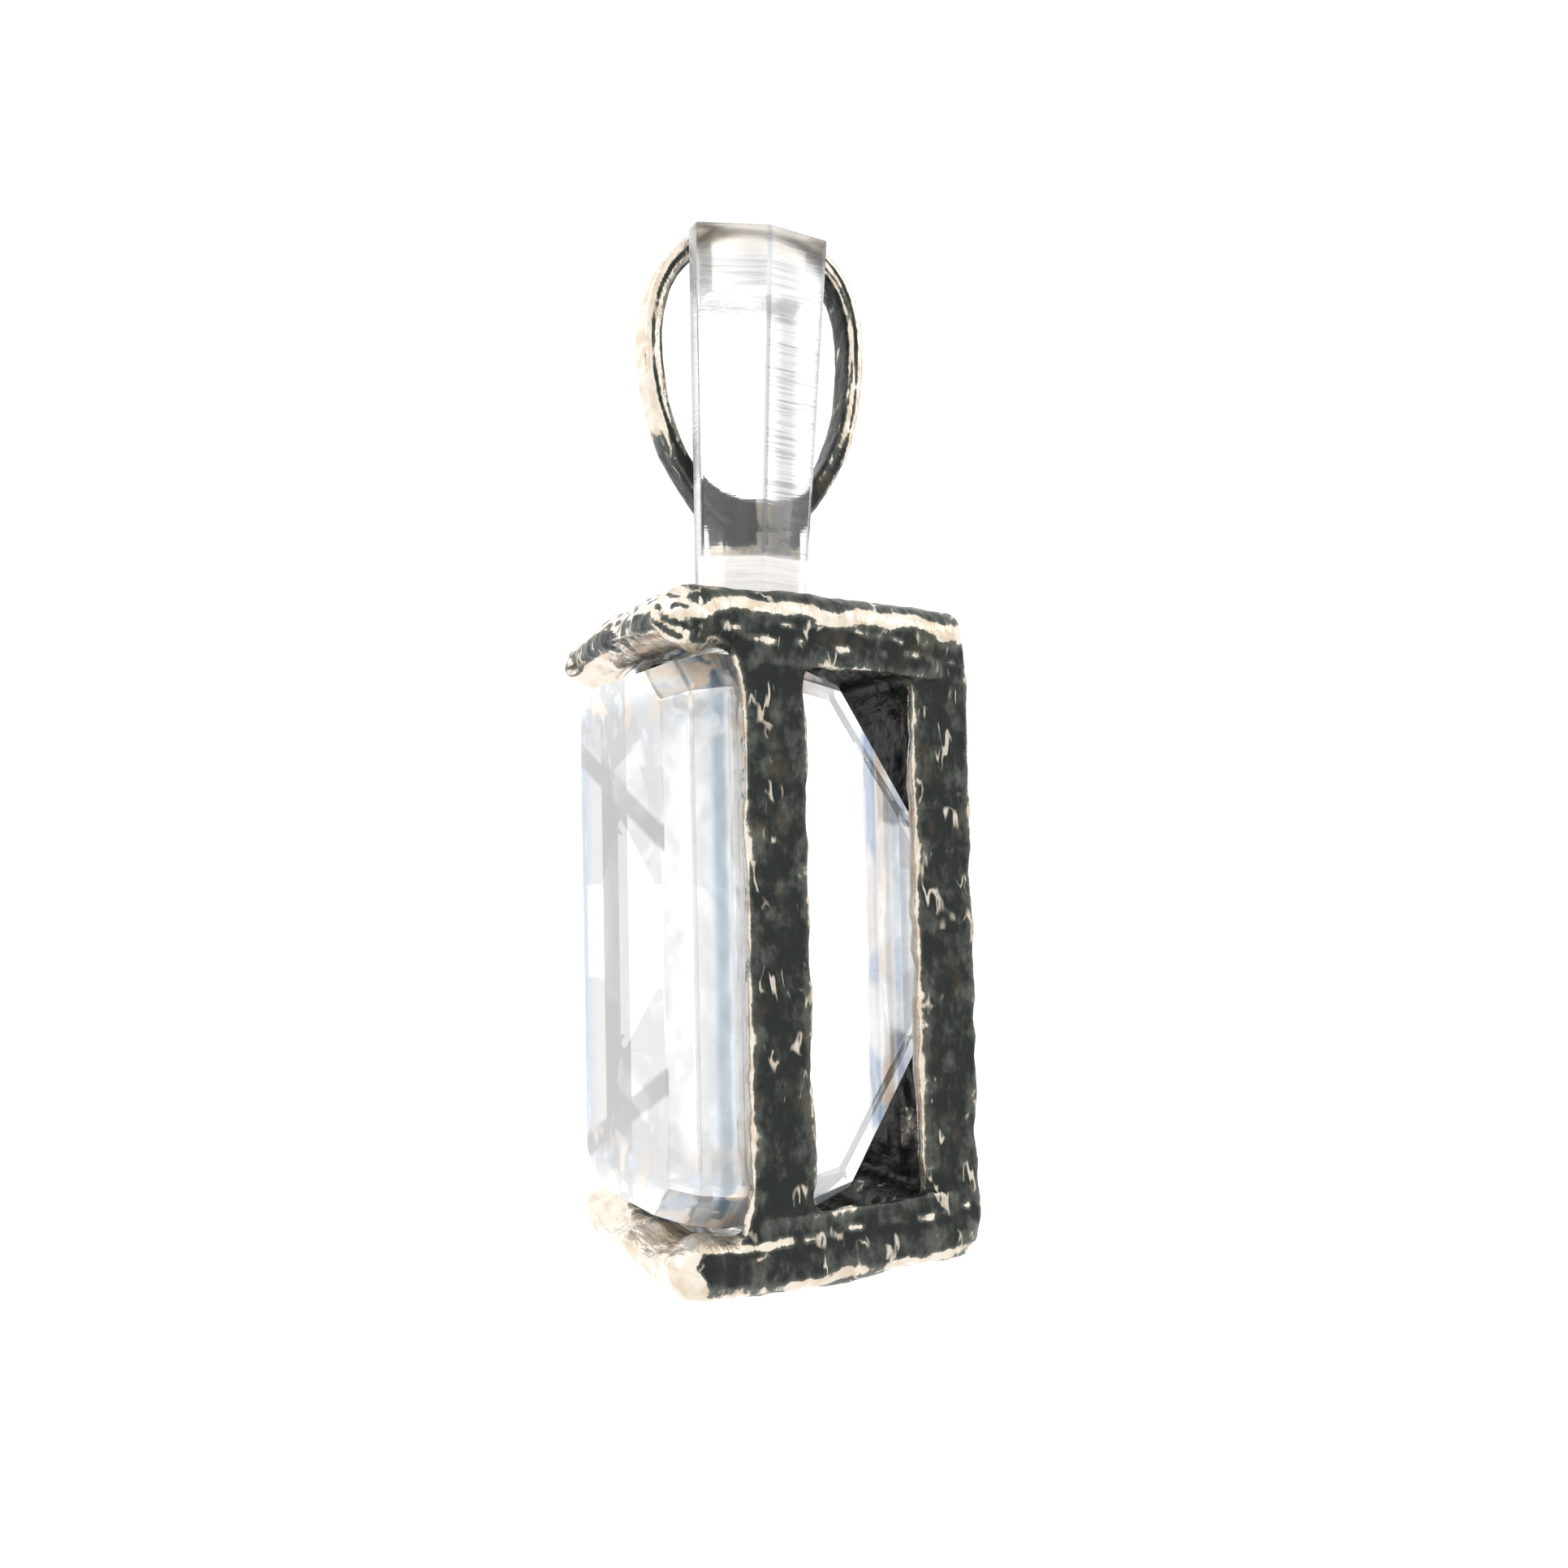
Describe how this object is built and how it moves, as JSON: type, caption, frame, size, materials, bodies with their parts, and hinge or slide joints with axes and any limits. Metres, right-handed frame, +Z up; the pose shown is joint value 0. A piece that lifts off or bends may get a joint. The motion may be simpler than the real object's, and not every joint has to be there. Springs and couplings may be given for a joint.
{
  "type": "moissanite pendant with its clear hanger strap",
  "caption": "Tall pendant: a deep step-cut clear stone in an open, blackened silver cage under an egg-shaped loop, with a clear ridged hanger strap.",
  "frame": {"origin": "inner top of the loop, on its middle line, where the pendant hangs", "axes": "+Z up along the pendant, -Y the front, the way the stone's table faces, +X the wearer's left when worn"},
  "size_m": [0.013, 0.0122, 0.0417],
  "materials": {
    "oxidised_silver": "hammered silver, blackened in the hollows and polished on the high spots",
    "moissanite": "colourless, polished facets",
    "clear_plastic": "clear, with fine cross scratches"
  },
  "bodies": {
    "root": {"setting": "oxidised_silver", "stone": "moissanite", "clear_strap": "clear_plastic"}
  },
  "joints": []
}
